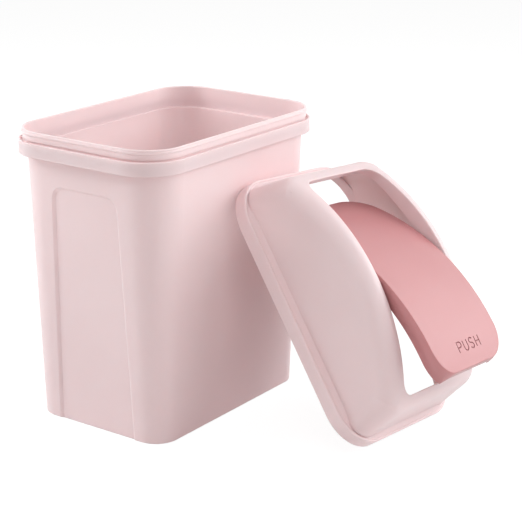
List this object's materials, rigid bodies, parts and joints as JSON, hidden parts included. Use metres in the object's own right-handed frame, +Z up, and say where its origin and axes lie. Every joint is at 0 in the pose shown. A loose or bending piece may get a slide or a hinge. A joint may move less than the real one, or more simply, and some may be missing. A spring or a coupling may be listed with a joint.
{
  "type": "swing-lid waste bin",
  "caption": "Tapered rectangular waste bin with a domed lift-off lid frame and an arched flap that swings in its opening; lid stored leaning on the bucket.",
  "frame": {"origin": "middle of the bucket's flat underside, on the floor plane", "axes": "+Z up, X along the bucket's long side, -Y towards the side where the lid leans on the long wall"},
  "size_m": [0.3023, 0.429, 0.3],
  "materials": {
    "bucket": "matte, fine moulded texture",
    "lid_frame": "matte, fine moulded texture",
    "swing_flap": "satin, fine moulded texture"
  },
  "bodies": {
    "bucket": {"bucket": "bucket"},
    "lid_frame": {"lid_frame": "lid_frame"},
    "swing_flap": {"swing_flap": "swing_flap"}
  },
  "joints": [
    {"name": "lid_lift_away", "type": "slide", "parent": "bucket", "child": "lid_frame", "axis": [0.0191, -0.8214, 0.57], "range_m": [0, 0.3]},
    {"name": "flap_swing", "type": "hinge", "parent": "lid_frame", "child": "swing_flap", "pos_m": [0.05926, -0.2479, 0.17153], "axis": [-0.9971, 0.0265, 0.0716], "range_deg": [-82.8, 37.2]}
  ]
}
